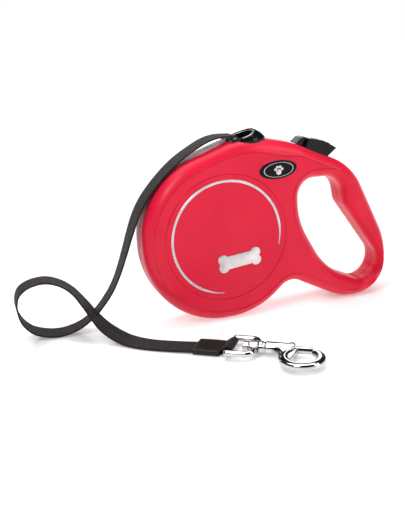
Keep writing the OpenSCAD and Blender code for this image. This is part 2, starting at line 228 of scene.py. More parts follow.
def sweep(path, radius, place, segs=32):
    """A round bar along a path, with domed ends."""
    bm = bmesh.new()
    pts = [Vector(p) for p in path]
    n = len(pts)
    ways = [(pts[min(i + 1, n - 1)] - pts[max(i - 1, 0)]).normalized() for i in range(n)]
    side = ways[0].orthogonal().normalized()
    rings = []

    def ring(centre, way, side, r):
        other = way.cross(side)
        return [place(centre + r * (math.cos(2 * math.pi * k / segs) * side
                                    + math.sin(2 * math.pi * k / segs) * other))
                for k in range(segs)]

    def dome(i, angles, side):
        for a in angles:
            s, c = math.sin(math.radians(a)), math.cos(math.radians(a))
            rings.append(ring(pts[i] + ways[i] * radius * s, ways[i], side, radius * c))

    for i in range(n):
        side = (side - ways[i] * side.dot(ways[i])).normalized()
        if i == 0:
            dome(i, (-80, -60, -40, -20), side)
        rings.append(ring(pts[i], ways[i], side, radius))
        if i == n - 1:
            dome(i, (20, 40, 60, 80), side)
    rings_mesh(bm, rings)
    return bm


# ---- Materials ----
class Nodes:
    """A short way to write a Principled material's nodes."""

    def __init__(self, name, color, rough, metal=0.0):
        self.mat = bpy.data.materials.new(name)
        self.mat.use_nodes = True
        self.tree = self.mat.node_tree
        self.shader = self.tree.nodes["Principled BSDF"]
        self.set("Base Color", (*color, 1))
        self.set("Roughness", rough)
        self.set("Metallic", metal)
        self.mat.diffuse_color = (*color, 1)

    def set(self, socket, value):
        self.shader.inputs[socket].default_value = value

    def add(self, kind, **values):
        node = self.tree.nodes.new("ShaderNode" + kind)
        for key, value in values.items():
            if hasattr(node, key):
                setattr(node, key, value)
            else:
                node.inputs[key.replace("_", " ")].default_value = value
        return node

    def link(self, out, into):
        self.tree.links.new(out, into)

    def place(self):
        return self.add("TexCoord").outputs["Object"]

    def noise(self, scale, detail=4.0, vector=None, roughness=0.55):
        node = self.add("TexNoise", Scale=scale, Detail=detail, Roughness=roughness)
        self.link(vector or self.place(), node.inputs["Vector"])
        return node.outputs["Fac"]

    def ramp(self, fac, low, high, start=0.3, end=0.7):
        node = self.add("ValToRGB")
        node.color_ramp.elements[0].position = start
        node.color_ramp.elements[1].position = end
        node.color_ramp.elements[0].color = low
        node.color_ramp.elements[1].color = high
        self.link(fac, node.inputs["Fac"])
        return node.outputs["Color"]

    def tint(self, fac, low, high, start=0.3, end=0.7):
        self.link(self.ramp(fac, (*low, 1), (*high, 1), start, end), self.shader.inputs["Base Color"])

    def polish(self, fac, low, high, start=0.3, end=0.7):
        node = self.add("MapRange", From_Min=start, From_Max=end, To_Min=low, To_Max=high)
        self.link(fac, node.inputs["Value"])
        self.link(node.outputs["Result"], self.shader.inputs["Roughness"])

    def bump(self, height, strength, distance):
        node = self.add("Bump", Strength=strength, Distance=distance)
        self.link(height, node.inputs["Height"])
        last = self.shader.inputs["Normal"].links
        if last:
            self.link(last[0].from_socket, node.inputs["Normal"])
        self.link(node.outputs["Normal"], self.shader.inputs["Normal"])

    def math(self, kind, a, b=None):
        node = self.add("Math", operation=kind)
        for k, v in enumerate((a, b)):
            if v is None:
                continue
            if isinstance(v, (int, float)):
                node.inputs[k].default_value = v
            else:
                self.link(v, node.inputs[k])
        return node.outputs[0]


def red_plastic():
    m = Nodes("red_plastic", (0.80, 0.010, 0.035), 0.34)
    m.set("Specular IOR Level", 0.20)
    m.set("Coat Weight", 0.06)
    m.set("Coat Roughness", 0.22)
    m.set("Subsurface Weight", 0.04)
    m.set("Subsurface Radius", (0.004, 0.0008, 0.0008))
    m.tint(m.noise(26, 3), (0.69, 0.008, 0.038), (0.77, 0.012, 0.048))
    m.polish(m.noise(140, 5), 0.31, 0.39)
    m.bump(m.noise(1500, 2), 0.10, 0.00006)
    m.bump(m.noise(60, 3), 0.08, 0.0004)
    return m.mat


def black_gloss():
    m = Nodes("black_gloss", (0.004, 0.004, 0.0045), 0.12)
    m.set("Specular IOR Level", 0.18)
    m.set("Coat Weight", 0.08)
    m.set("Coat Roughness", 0.04)
    m.tint(m.noise(40, 3), (0.003, 0.003, 0.0035), (0.007, 0.007, 0.0075))
    m.polish(m.noise(220, 5), 0.10, 0.18)
    m.bump(m.noise(900, 2), 0.06, 0.00005)
    return m.mat


def badge_black():
    m = Nodes("badge_black", (0.004, 0.004, 0.0045), 0.2)
    m.set("Specular IOR Level", 0.12)
    m.tint(m.noise(60, 3), (0.003, 0.003, 0.0035), (0.007, 0.007, 0.0075))
    m.polish(m.noise(260, 4), 0.16, 0.26)
    return m.mat


def black_matte():
    m = Nodes("black_matte", (0.012, 0.012, 0.013), 0.5)
    m.set("Specular IOR Level", 0.3)
    m.tint(m.noise(50, 4), (0.008, 0.008, 0.009), (0.018, 0.018, 0.019))
    m.polish(m.noise(300, 4), 0.42, 0.58)
    m.bump(m.noise(2600, 2), 0.35, 0.00008)
    return m.mat


def chrome():
    m = Nodes("chrome", (0.62, 0.61, 0.62), 0.10, 1.0)
    m.tint(m.noise(70, 4), (0.54, 0.53, 0.54), (0.66, 0.65, 0.66))
    m.polish(m.noise(260, 6), 0.06, 0.15)
    m.bump(m.noise(220, 3), 0.06, 0.0002)
    return m.mat


def steel():
    m = Nodes("steel", (0.50, 0.51, 0.54), 0.34, 1.0)
    m.tint(m.noise(90, 5), (0.42, 0.43, 0.46), (0.60, 0.61, 0.64))
    stretch = m.add("Mapping", Scale=(1, 12, 1))
    m.link(m.place(), stretch.inputs["Vector"])
    m.polish(m.noise(500, 4, stretch.outputs["Vector"]), 0.26, 0.44)
    m.bump(m.noise(900, 3, stretch.outputs["Vector"]), 0.15, 0.00005)
    return m.mat


def bronze():
    m = Nodes("bronze", (0.55, 0.36, 0.16), 0.36, 1.0)
    m.tint(m.noise(120, 5), (0.44, 0.28, 0.12), (0.64, 0.44, 0.22))
    m.polish(m.noise(500, 3), 0.30, 0.46)
    m.bump(m.noise(1600, 2), 0.2, 0.00004)
    return m.mat


def satin_silver():
    m = Nodes("satin_silver", (0.62, 0.60, 0.60), 0.32, 0.75)
    m.tint(m.noise(160, 4), (0.56, 0.54, 0.54), (0.70, 0.68, 0.68))
    m.polish(m.noise(600, 3), 0.26, 0.40)
    m.bump(m.noise(2500, 2), 0.15, 0.00004)
    return m.mat


def webbing():
    """Flat nylon tape: chevrons along its length, crossed by finer lengthwise threads."""
    m = Nodes("webbing", (0.020, 0.018, 0.018), 0.62)
    m.set("Sheen Weight", 0.04)
    m.set("Specular IOR Level", 0.16)
    uv = m.add("UVMap", uv_map="run")
    parts = m.add("SeparateXYZ")
    m.link(uv.outputs["UV"], parts.inputs["Vector"])
    along, across = parts.outputs["X"], parts.outputs["Y"]
    fold = m.math("ABSOLUTE", across)
    slant = m.math("ADD", m.math("MULTIPLY", along, 3.6), m.math("MULTIPLY", fold, 2.4))
    rows = m.math("SINE", m.math("MULTIPLY", slant, 1.7))
    threads = m.math("SINE", m.math("MULTIPLY", across, 9.0))
    weave = m.math("ADD", m.math("MULTIPLY", rows, 0.6), m.math("MULTIPLY", threads, 0.4))
    m.bump(weave, 0.55, 0.00018)
    m.bump(m.noise(1800, 3), 0.25, 0.0001)
    blotch = m.math("ADD", m.math("MULTIPLY", weave, 0.18), m.noise(120, 5))
    m.tint(blotch, (0.006, 0.0035, 0.0034), (0.021, 0.0125, 0.0115), 0.25, 0.75)
    m.polish(m.noise(400, 3), 0.52, 0.70)
    return m.mat


def keeper():
    m = Nodes("keeper", (0.012, 0.006, 0.005), 0.42)
    m.set("Specular IOR Level", 0.25)
    m.tint(m.noise(300, 5), (0.009, 0.005, 0.004), (0.022, 0.012, 0.010))
    m.polish(m.noise(500, 4), 0.34, 0.52)
    grain = m.add("TexVoronoi", Scale=900.0)
    m.link(m.place(), grain.inputs["Vector"])
    m.bump(grain.outputs["Distance"], 0.3, 0.00012)
    return m.mat


def thread():
    m = Nodes("thread", (0.05, 0.045, 0.042), 0.6)
    m.tint(m.noise(900, 3), (0.035, 0.03, 0.03), (0.075, 0.07, 0.066))
    m.bump(m.noise(4000, 2), 0.4, 0.00005)
    return m.mat


def floor_paint():
    m = Nodes("floor_paint", (0.90, 0.90, 0.91), 0.16)
    m.set("Specular IOR Level", 0.2)
    m.set("Emission Color", (1, 1, 1, 1))
    far = m.add("VectorMath", operation="LENGTH")
    m.link(m.place(), far.inputs[0])
    glow = m.add("MapRange", From_Min=0.3, From_Max=1.1, To_Min=0.3, To_Max=0.85)
    m.link(far.outputs["Value"], glow.inputs["Value"])
    m.link(glow.outputs["Result"], m.shader.inputs["Emission Strength"])
    m.tint(m.noise(3, 2), (0.895, 0.895, 0.905), (0.905, 0.905, 0.915))
    m.polish(m.noise(8, 3), 0.14, 0.18)
    return m.mat


MATS = {f.__name__: f() for f in (red_plastic, black_gloss, badge_black, black_matte, chrome, steel, bronze,
                                  satin_silver, webbing, keeper, thread, floor_paint)}


def finish_piece(obj, body, mat, slot, *nodes):
    obj.data.materials.clear()
    obj.data.materials.append(MATS[mat])
    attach(obj, body)
    if nodes:
        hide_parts(*nodes)
    return obj


# ---- The tape outside the casing ----
# The route of part.scad, in metres: x, y, z and the turn of the tape's width in plan, in degrees.
TAPE_ROUTE = [
    (-0.0245, 0, 0.1377, 0), (-0.036, 0, 0.1382, 0), (-0.046, 0, 0.136, 0),
    (-0.057, 0, 0.1308, 0), (-0.0685, 0, 0.124, 0), (-0.079, 0, 0.1155, 0),
    (-0.089, 0, 0.1055, 0), (-0.0965, 0, 0.096, 0), (-0.1025, 0, 0.085, 0),
    (-0.1075, 0.001, 0.072, 2), (-0.112, 0.002, 0.059, 4), (-0.117, 0.003, 0.046, 6),
    (-0.1225, 0.005, 0.034, 8), (-0.1295, 0.008, 0.023, 10), (-0.137, 0.012, 0.0135, 12),
    (-0.147, 0.016, 0.0055, 12), (-0.159, 0.019, 0.0014, 10), (-0.170, 0.020, 0.002, 8),
    (-0.181, 0.020, 0.0065, 6), (-0.1885, 0.020, 0.015, 4), (-0.1915, 0.019, 0.026, 2),
    (-0.1905, 0.018, 0.035, 2), (-0.1865, 0.016, 0.041, 2), (-0.179, 0.014, 0.045, 4),
    (-0.169, 0.012, 0.046, 6), (-0.159, 0.010, 0.0425, 8), (-0.151, 0.008, 0.036, 12),
    (-0.1445, 0.005, 0.027, 18), (-0.138, 0, 0.0165, 24), (-0.131, -0.008, 0.008, 32),
    (-0.121, -0.0195, 0.0022, 37), (-0.110, -0.032, 0.001, 38), (-0.096, -0.0436, 0.0011, 37.5),
    (-0.080, -0.0551, 0.0015, 37),
]
TAPE_W = 18.0
TAPE_T = 1.2


def section(width, thick, fine=10):
    """Outline of a flat band's section with rounded edges: across, through."""
    r = thick / 2
    flat = width / 2 - r
    out = [(flat - 2 * flat * k / fine, r) for k in range(fine + 1)]
    out += [(-flat - r * math.sin(math.radians(a)), r * math.cos(math.radians(a)))
            for a in (30, 60, 90, 120, 150)]
    out += [(-flat + 2 * flat * k / fine, -r) for k in range(fine + 1)]
    out += [(flat + r * math.sin(math.radians(a)), -r * math.cos(math.radians(a)))
            for a in (30, 60, 90, 120, 150)]
    return out


def ribbon(name, line, widths, width, thick, place=Vector):
    """A woven band: line is its middle, and widths its direction across at each point."""
    bm = bmesh.new()
    run = bm.loops.layers.uv.new("run")
    shape = section(width, thick)
    n = len(line)
    rings, at = [], [0.0]
    for i in range(n):
        way = (line[min(i + 1, n - 1)] - line[max(i - 1, 0)]).normalized()
        w = (widths[i] - way * widths[i].dot(way)).normalized()
        m = way.cross(w)
        rings.append([bm.verts.new(place(line[i] + w * a + m * t)) for a, t in shape])
        if i:
            at.append(at[-1] + (line[i] - line[i - 1]).length)
    k = len(shape)

    def face(verts, uvs):
        f = bm.faces.new(verts)
        for loop, uv in zip(f.loops, uvs):
            loop[run].uv = uv

    for i in range(n - 1):
        for j in range(k):
            e = (j + 1) % k
            face((rings[i][j], rings[i][e], rings[i + 1][e], rings[i + 1][j]),
                 ((at[i], shape[j][0]), (at[i], shape[e][0]),
                  (at[i + 1], shape[e][0]), (at[i + 1], shape[j][0])))
    for ring, s in ((list(reversed(rings[0])), 0.0), (rings[-1], at[-1])):
        face(ring, [(s, 0.0)] * k)
    return new_object(name, bm)


def make_tape():
    fine = catmull([(x / MM, y / MM, z / MM, a) for x, y, z, a in TAPE_ROUTE], 10)
    line = [v.to_3d() for v in fine]
    widths = [Vector((math.sin(math.radians(v[3])), math.cos(math.radians(v[3])), 0)) for v in fine]
    length = sum((b - a).length for a, b in zip(line, line[1:]))
    tape = ribbon("tape", line, widths, TAPE_W, TAPE_T)
    return tape, line, length * MM


tape, tape_path, tape_length = make_tape()
finish_piece(tape, "casing", "webbing", "webbing", "leash_tape")


# ---- Casing ----
HALF, BAND, ROUND, WALL = 17.0, 6.0, 12.0, 2.4
CASING = [
    (-62.5, -29.8, 61.5, 6), (-25.4, -65.5, 61.5, 7.5), (24.5, -65.5, 60, 7), (53, -41.5, 14, 7),
    (98, -65.5, 34, 6), (137.5, -65.5, 27, 6), (137.5, -22, 60, 6), (108.5, 40.5, 45, 5),
    (60, 62.5, 70, 8), (18, 72.5, 60, 10), (-62.5, 46, 61.5, 6),
]
GAP = [
    (62.5, 35, 13, 6.5), (60.5, 5, 60, 6), (85, -40, 60, 6), (131, -62, 14, 6),
    (131.5, -34, 16, 6.5), (101, 11, 12, 9), (97.5, 34, 16, 6.5),
]
BOSSES = [(-31.5, -47), (47.5, -41.5), (118, 2), (122, -58), (-42, 41)]
BOSS_R, SCREW_HOLE_R, CHAMBER_R, NOZZLE_HOLE_R = 4.2, 2.9, 53, 15.6


def outline(corners, step):
    """A polygon with its corners rounded: points, outward normals and rim depths."""
    n = len(corners)
    at = [Vector(c[:2]) for c in corners]
    way = [(at[i] - at[i - 1]).normalized() for i in range(n)]
    out = []
    for i, (*_, r, depth) in enumerate(corners):
        u, w = way[i], way[(i + 1) % n]
        turn = math.atan2(u.x * w.y - u.y * w.x, u.dot(w))
        start = at[i] - u * r * math.tan(abs(turn) / 2)
        mid = start + Vector((-u.y, u.x)) * math.copysign(r, turn)
        k = max(3, math.ceil(abs(math.degrees(turn)) / step))
        d0 = (corners[i - 1][3] + depth) / 2
        d1 = (depth + corners[(i + 1) % n][3]) / 2
        for j in range(k + 1):
            spin = Matrix.Rotation(turn * j / k, 2)
            out.append((mid + spin @ (start - mid), spin @ Vector((u.y, -u.x)),
                        d0 + (d1 - d0) * j / k))
    return out


def sag(t):
    return 1 - math.sqrt(1 - t * t)


def rounding(y):
    y = min(max(y, BAND), HALF)
    return sag((y - BAND) / ROUND) / sag((HALF - BAND) / ROUND)


def loft(corners, levels, side, front, step):
    """Closed solid through (y, extra) levels, as in part.scad; front is -1 or 1 along Y."""
    bm = bmesh.new()
    rings = []
    for y, extra in levels:
        rings.append([at_reel((p.x - q.x * g, front * y, p.y - q.y * g))
                      for p, q, d in outline(corners, step)
                      for g in [side * rounding(y) * d + extra]])
    rings_mesh(bm, rings)
    return bm


def rim_levels(lip):
    """Seam chamfer, flat band, rounding and a small soft lip at the face."""
    out = [(0, lip), (0.35, 0), (BAND, 0)]
    out += [(BAND + (16.7 - BAND) * math.sin(math.radians(90 * k / 16)), 0) for k in range(1, 17)]
    return out + [(16.92, lip * 0.3), (HALF, lip)]


def rod(p, r, y0, y1, steps=64):
    bm = bmesh.new()
    rings_mesh(bm, [[at_reel((p[0] + r * math.cos(2 * math.pi * i / steps), y,
                              p[1] + r * math.sin(2 * math.pi * i / steps)))
                     for i in range(steps)] for y in (y0, y1)])
    return bm


def controls_pocket():
    """The hole for the button, and the slot for the slider's leg."""
    return [block((-14.6, 8.8), (-9.8, 9.8), (-6, 24), at_seat),
            block((-20.6, -14), (-2.3, 2.3), (-6, 24), at_seat)]


def outline_groove(corners, side, front):
    """A fine groove in the face, a little inside the outline's ridge."""
    bm = bmesh.new()
    rings_mesh(bm, [[at_reel((p.x - q.x * g, front * y, p.y - q.y * g))
                     for inset, y in ((0.5, 18), (0.6, 16.7), (0.85, 16.5), (1.1, 16.7), (1.2, 18))
                     for g in [side * (d + inset)]]
                    for p, q, d in outline(corners, 2.5)], closed=True)
    return bm


def make_shell(name, front):
    """One half of the casing, hollow, with its bosses, openings and the grooves in its face."""
    gap_rim = [(y, -extra) for y, extra in rim_levels(0.35)]
    shell = new_object(name, loft(CASING, rim_levels(0.35), 1, front, 2.5))
    cut(shell, loft(GAP, [(-1, -0.35)] + gap_rim + [(18, -0.35)], -1, front, 2.5))
    hollow = new_object("hollow", loft(CASING, [(-1, WALL), (6, WALL), (9.5, WALL), (11.8, WALL)],
                                       1, front, 6))
    cut(hollow, loft(GAP, [(-2, -WALL), (6, -WALL), (9.5, -WALL), (12.3, -WALL)], -1, front, 6),
        join(*[rod(p, BOSS_R, min(front * 20, -front * 5), max(front * 20, -front * 5))
               for p in BOSSES]),
        block((-6, 7), (-17, 17), (-12.6, -10.6), at_seat))
    inside = bmesh.new()
    inside.from_mesh(hollow.data)
    inside.transform(Matrix.Scale(1 / MM, 4))
    bpy.data.objects.remove(hollow)
    near, far = sorted((front * 11.3, front * 14.6))
    chamber = rod((0, 0), CHAMBER_R, near, far, 96)
    nozzle_hole = lathe([(NOZZLE_HOLE_R, 57), (NOZZLE_HOLE_R, 90)], at_nozzle)
    groove = tube_ring([(47.1, front * 18), (47.15, front * 16.75), (47.5, front * 16.5),
                        (47.85, front * 16.75), (47.9, front * 18)], at_reel)
    cut(shell, inside, chamber, nozzle_hole, *controls_pocket(), groove,
        outline_groove(CASING, 1, front), outline_groove(GAP, -1, front))
    if front > 0:
        cut(shell, join(*[rod(p, SCREW_HOLE_R, 9, 18) for p in BOSSES]))
    shell.data.shade_smooth()
    shell.data.set_sharp_from_angle(angle=math.radians(38))
    even(shell)
    flatten(shell)
    return shell


def shape_ring(points, place, y0, y1, lip=0.15):
    """A flat shape proud of the face, its front edge rounded: points are [x, z] round it."""
    n = len(points)
    inward = []
    for i in range(n):
        way = (Vector(points[(i + 1) % n]) - Vector(points[i - 1])).normalized()
        inward.append(Vector((-way.y, way.x)))
    bm = bmesh.new()
    rings = []
    for y, g in ((y1, 0), (y0 + lip, 0), (y0 + lip * 0.3, lip * 0.35), (y0, lip)):
        rings.append([place((points[i][0] + inward[i].x * g, y, points[i][1] + inward[i].y * g))
                      for i in range(n)])
    rings_mesh(bm, rings)
    return bm


def oval(a, b, centre, turn=1.5, n=96):
    spin = Matrix.Rotation(math.radians(turn), 2)
    return [tuple(spin @ Vector((a * math.cos(2 * math.pi * i / n), b * math.sin(2 * math.pi * i / n)))
                  + Vector(centre)) for i in range(n)]


def bone_points(centre, turn):
    """Outline of a plain bone: a shaft between two pairs of round ends."""
    pts = []
    for sx in (1, -1):
        for sz, a0, a1 in ((-1, -150, 46), (1, -46, 150)):
            for k in range(19):
                a = math.radians(a0 + (a1 - a0) * k / 18)
                pts.append((13 + 4 * math.cos(a), sz * 3 + 4 * math.sin(a), sx))
    spin = Matrix.Rotation(math.radians(turn), 2)
    out = []
    for x, z, sx in pts:
        out.append(tuple(spin @ Vector((sx * x, sx * z)) + Vector(centre)))
    return out


def make_ring():
    """The open ring round the disc, which thins out towards both ends."""
    steps, middle = 140, 42.4
    bm = bmesh.new()
    rings = []
    for k in range(steps + 1):
        a = math.radians(-14.9 + 278.7 * k / steps)
        half = 0.95 * min(1.0, 0.25 + 0.06 * min(k, steps - k))
        rings.append([at_reel(((middle + g * half) * math.cos(a), y, (middle + g * half) * math.sin(a)))
                      for g, y in ((-1, -16.9), (-1, -17.15), (-0.75, -17.35), (0.75, -17.35),
                                   (1, -17.15), (1, -16.9))])
    rings_mesh(bm, rings)
    finish_piece(new_object("silver_ring", bm), "casing", "satin_silver", "chrome", "face_ring")


def make_bone():
    bone = shape_ring(bone_points((9, -18.5), 6), at_reel, -17.35, -16.9)
    finish_piece(new_object("silver_bone", bone), "casing", "satin_silver", "chrome", "bone_inlay")


BADGE = (42.6, 46)
BADGE_A, BADGE_B = 15.2, 6.9  # half the oval's length and height


def make_badge():
    bm = bmesh.new()
    rings = [[at_reel((x, y, z)) for x, z in oval(BADGE_A - g, BADGE_B - g, BADGE)]
             for y, g in ((-16.0, 0.05), (-17.2, 0.05), (-17.45, 0.25), (-17.6, 0.7), (-17.75, 1.6),
                          (-17.9, 3.4), (-17.98, 5.2))]
    rings_mesh(bm, rings)
    finish_piece(new_object("badge", bm), "casing", "badge_black", "black_gloss", "badge_plate")


def make_badge_line():
    bm = bmesh.new()
    sides = [[at_reel((x, y, z)) for x, z in oval(BADGE_A * k, BADGE_B * k, BADGE, n=120)]
             for k, y in ((0.75, -17.6), (0.75, -18.02), (0.785, -18.02), (0.785, -17.6))]
    rings_mesh(bm, list(zip(*sides)), closed=True)
    finish_piece(new_object("badge_oval", bm), "casing", "satin_silver", "chrome", "badge_rim")


def make_paw():
    paw = []
    toes = [(2.9 * math.sin(math.radians(a)), 2.9 * math.cos(math.radians(a)) - 0.7, 1.05)
            for a in (-68, -23, 23, 68)]
    for x, z, r in [(0, -1.7, 2.1)] + toes:
        paw.append(shape_ring(oval(r * 1.05, r, (BADGE[0] + x, BADGE[1] + z), n=32), at_reel,
                              -18.12, -17.6, 0.12))
    finish_piece(new_object("badge_paw_mark", join(*paw)), "casing", "satin_silver", "chrome",
                 "badge_paw")


# ---- Nozzle ----
NOZZLE_R, SHOULDER, RISE = 15.5, 69.0, 7.8
DOME = (NOZZLE_R * NOZZLE_R + RISE * RISE) / (2 * RISE)
DOME_MID = SHOULDER + RISE - DOME
WELL_X, WELL_R = 20, 10.5


SLOT_HALF = TAPE_W / 2 + 0.4


def mouth():
    """The round well in the dome, and the slot over the roller."""
    return (lathe([(WELL_R, 64), (WELL_R, 90)], lambda p: at_reel((p[0] + WELL_X, p[1], p[2]))),
            block((10.5, 19), (-SLOT_HALF, SLOT_HALF), (66, 90), at_reel))


def make_nozzle():
    profile = [(NOZZLE_R, 57), (NOZZLE_R, SHOULDER - 0.8)]
    reach = math.asin(NOZZLE_R / DOME)
    for k in range(1, 30):
        a = reach * (1 - k / 30)
        profile.append((DOME * math.sin(a), DOME_MID + DOME * math.cos(a)))
    nozzle = new_object("nozzle_dome", lathe(profile, at_nozzle, steps=120))
    cut(nozzle, *mouth(), block((15, 26), (-SLOT_HALF, SLOT_HALF), (56, 68), at_reel),
        rod((13, 69.1), 1.0, -12, 12, 32))
    soften(nozzle, 0.35, 28)
    finish_piece(nozzle, "casing", "black_gloss", "black_gloss", "nozzle")


def make_sill():
    """The step in front of the roller that the tape slides over."""
    profile = [(9.0, 65), (9.0, 68.6), (10.0, 70.6), (14.5, 71.0), (17, 71.0), (17, 65)]
    sill = new_object("nozzle_sill", prism(profile, -10.6, 10.6, at_reel))
    cut(sill, *mouth())
    soften(sill, 0.5, 30)
    finish_piece(sill, "casing", "black_gloss", "black_gloss")


def lip(radius, width, drop):
    """A thin bead that follows the dome round the well."""
    path = []
    for k in range(61):
        a = math.radians(-100 + 200 * k / 60)
        x, y = WELL_X + radius * math.cos(a), radius * math.sin(a)
        d = math.hypot(x - NOZZLE_X, y / NARROW)
        path.append((x, y, DOME_MID + math.sqrt(DOME * DOME - d * d) - drop))
    return sweep(path, width, at_reel, 12)


def make_lip_highlight():
    # Satin silver beads on the black mouth ring: a painted highlight, a thin bright line along the rim's
    # edges.
    highlight_beads = join(lip(10.9, 0.4, 0.35), lip(9.9, 0.3, 1.6))
    finish_piece(new_object("mouth_lip", highlight_beads), "casing", "satin_silver", "black_matte", "mouth_ring")


# ---- Brake ----
def make_button():
    """The brake button, and the foot inside the casing that works the pawl."""
    profile = [(-14.2, -5), (-14.2, 7.6), (-9, 8.6), (-3, 9.4), (4, 9.4), (10.6, 8.6), (6.2, 0.4),
               (6.2, -5)]
    button = new_object("brake_key", prism(profile, -9.5, 9.5, at_seat))
    cut(button, *[block((x, x + 0.5), (-12, 12), (z, 14), at_seat) for x, z in ((-6, 8.3), (8.6, 8.2))],
        lathe([(3.9, -7), (3.9, 1)], lambda p: at_seat((p[0] + 0.5, p[1], p[2]))))
    soften(button, 0.7, 30)
    foot = new_object("brake_key_foot", block((-14.2, -9.2), (-4, 11.2), (-7.6, -5), at_seat))
    soften(foot, 0.3, 30)
    finish_piece(button, "button", "black_gloss", "black_gloss", "brake_button")
    finish_piece(foot, "button", "black_matte", "black_gloss")


def make_grip():
    """Ribs across the top of the button."""
    ribs = [block((x, x + 1.1), (-9.75, 9.75), (6.4 - x / 3, 9.9), at_seat) for x in (-2.8, -1, 0.8, 2.6)]
    grip = new_object("key_ribs", join(*ribs))
    soften(grip, 0.3, 30)
    finish_piece(grip, "button", "black_gloss", "black_matte", "button_grip")


def make_slider():
    """The locking slider, its leg in the slot, and the leaf that holds it where it is put."""
    profile = [(-20.8, 0.4), (-20.6, 1.6), (-18.2, 6.2), (-16.9, 7.0), (-14.9, 7.1), (-14.9, 0.4)]
    lock = new_object("lock_key", prism(profile, -6, 6, at_seat))
    soften(lock, 0.6, 30)
    leg = new_object("lock_key_leg", block((-17.5, -15), (-2, 2), (-4, 1), at_seat))
    leaf = new_object("slide_leaf", block((-20.6, -20.3), (-2, 2), (-6, -0.4), at_seat))
    finish_piece(lock, "lock", "black_gloss", "black_matte", "lock_slider")
    finish_piece(leg, "lock", "black_matte", "black_matte")
    finish_piece(leaf, "casing", "steel", "steel", "slider_spring")


for name, front, node in (("casing_front", -1, "front_shell"), ("casing_rear", 1, "rear_shell")):
    shell = make_shell(name, front)
    finish_piece(shell, "casing", "red_plastic", "red_plastic", node)
    shell.visible_glossy = False  # else its mirror image covers the chrome hook in red
make_ring()
make_bone()
make_badge()
make_badge_line()
make_paw()
make_nozzle()
make_sill()
make_lip_highlight()
make_button()
make_grip()
make_slider()


# ---- Snap hook ----
def make_fold():
    """The tape's end, folded round the eye's bar and back under itself."""
    line = [(-25.5, -2.75), (-18, -2.6), (-11, -2.4), (-7.5, -1.9), (-5.4, -0.9), (-3.6, 0.4)]
    line += [(2.3 * math.cos(math.radians(a)), 2.3 * math.sin(math.radians(a)))
             for a in range(120, -91, -10)]
    line += [(-3, -2.9), (-8, -3.7), (-16, -4.0), (-23, -4.05)]
    fine = catmull([(x + 3, 0, z) for x, z in line], 3)
    across = [Vector((0, 1, 0))] * len(fine)
    loop = ribbon("tape_fold", fine, across, TAPE_W, 1.0, at_hook)
    finish_piece(loop, "casing", "webbing", "webbing", "tape_loop")


def make_keeper():
    """The soft sleeve over the fold, a little waisted, with rounded edges."""
    bm = bmesh.new()
    rings = []
    for x, g in ((-22.5, 0.55), (-22.1, 0.15), (-21.4, 0), (-12, -0.12), (-3.9, 0), (-3.3, 0.15),
                 (-2.9, 0.55)):
        ring = []
        for cy, cz, a0 in ((8.8, -2.1, 0), (-8.8, -2.1, 90), (-8.8, -3.2, 180), (8.8, -3.2, 270)):
            for k in range(7):
                a = math.radians(a0 + 15 * k)
                ring.append(at_hook((x, cy + (1.6 - g) * math.cos(a), cz + (1.6 - g) * math.sin(a))))
        rings.append(ring)
    rings_mesh(bm, rings)
    keeper_piece = new_object("tape_keeper", bm)
    cut(keeper_piece, block((-24, -1), (-9.15, 9.15), (-4.35, -0.95), at_hook))
    soften(keeper_piece, 0.15, 40, 2)
    finish_piece(keeper_piece, "casing", "keeper", "sleeve", "tape_sleeve")


def make_stitches():
    """Two rows of thread across the keeper."""
    stitches = []
    for x in (-20.4, -5.0):
        for k in range(9):
            y = -8 + 2 * k
            stitches.append(sweep([(x, y - 0.65, -0.53), (x, y, -0.46), (x, y + 0.65, -0.53)], 0.15,
                                  at_hook, 8))
    finish_piece(new_object("keeper_stitches", join(*stitches)), "casing", "thread", "sleeve")


def remesh(obj, size, smooth):
    mod = obj.modifiers.new("melt", "REMESH")
    mod.mode = "VOXEL"
    mod.voxel_size = size * MM
    flatten(obj)
    mod = obj.modifiers.new("ease", "SMOOTH")
    mod.factor = 0.5
    mod.iterations = smooth
    flatten(obj)
    obj.data.shade_smooth()


def make_eye():
    path = [(3, 13.2, 0), (9, 13.2, 0), (14.5, 13.1, 0)]
    path += [(15.6 + 4.8 * math.sin(math.radians(a)), 8.3 + 4.8 * math.cos(math.radians(a)), 0)
             for a in range(0, 91, 10)]
    path += [(20.4, 5, 0), (20.4, 0, 0)]
    path += [(x, -y, z) for x, y, z in reversed(path[:-1])]
    frame_bar = sweep(path, 2.25, at_hook, 24)
    bar = sweep([(3, y, 0) for y in (-13.2, 0, 13.2)], 1.7, at_hook, 24)
    boss = lathe([(3.9, 16.2), (4.6, 16.8), (4.6, 22.0), (4.1, 22.6)], at_hook, "X", 48)
    eye = new_object("swivel_frame", join(frame_bar, bar, boss))
    remesh(eye, 0.28, 5)
    cut(eye, lathe([(2.1, 10), (2.1, 30)], at_hook, "X", 40))
    eye.data.shade_smooth()
    eye.data.set_sharp_from_angle(angle=math.radians(45))
    finish_piece(eye, "eye", "chrome", "chrome", "swivel_eye")


def make_post():
    post = lathe([(1.4, 11.4), (3.2, 11.6), (4.0, 12.3), (4.0, 15.2), (3.5, 15.75), (2.0, 15.8), (2.0, 24)],
                 at_hook, "X", 48)
    finish_piece(new_object("swivel_pin", post), "hook", "chrome", "chrome", "swivel_post")


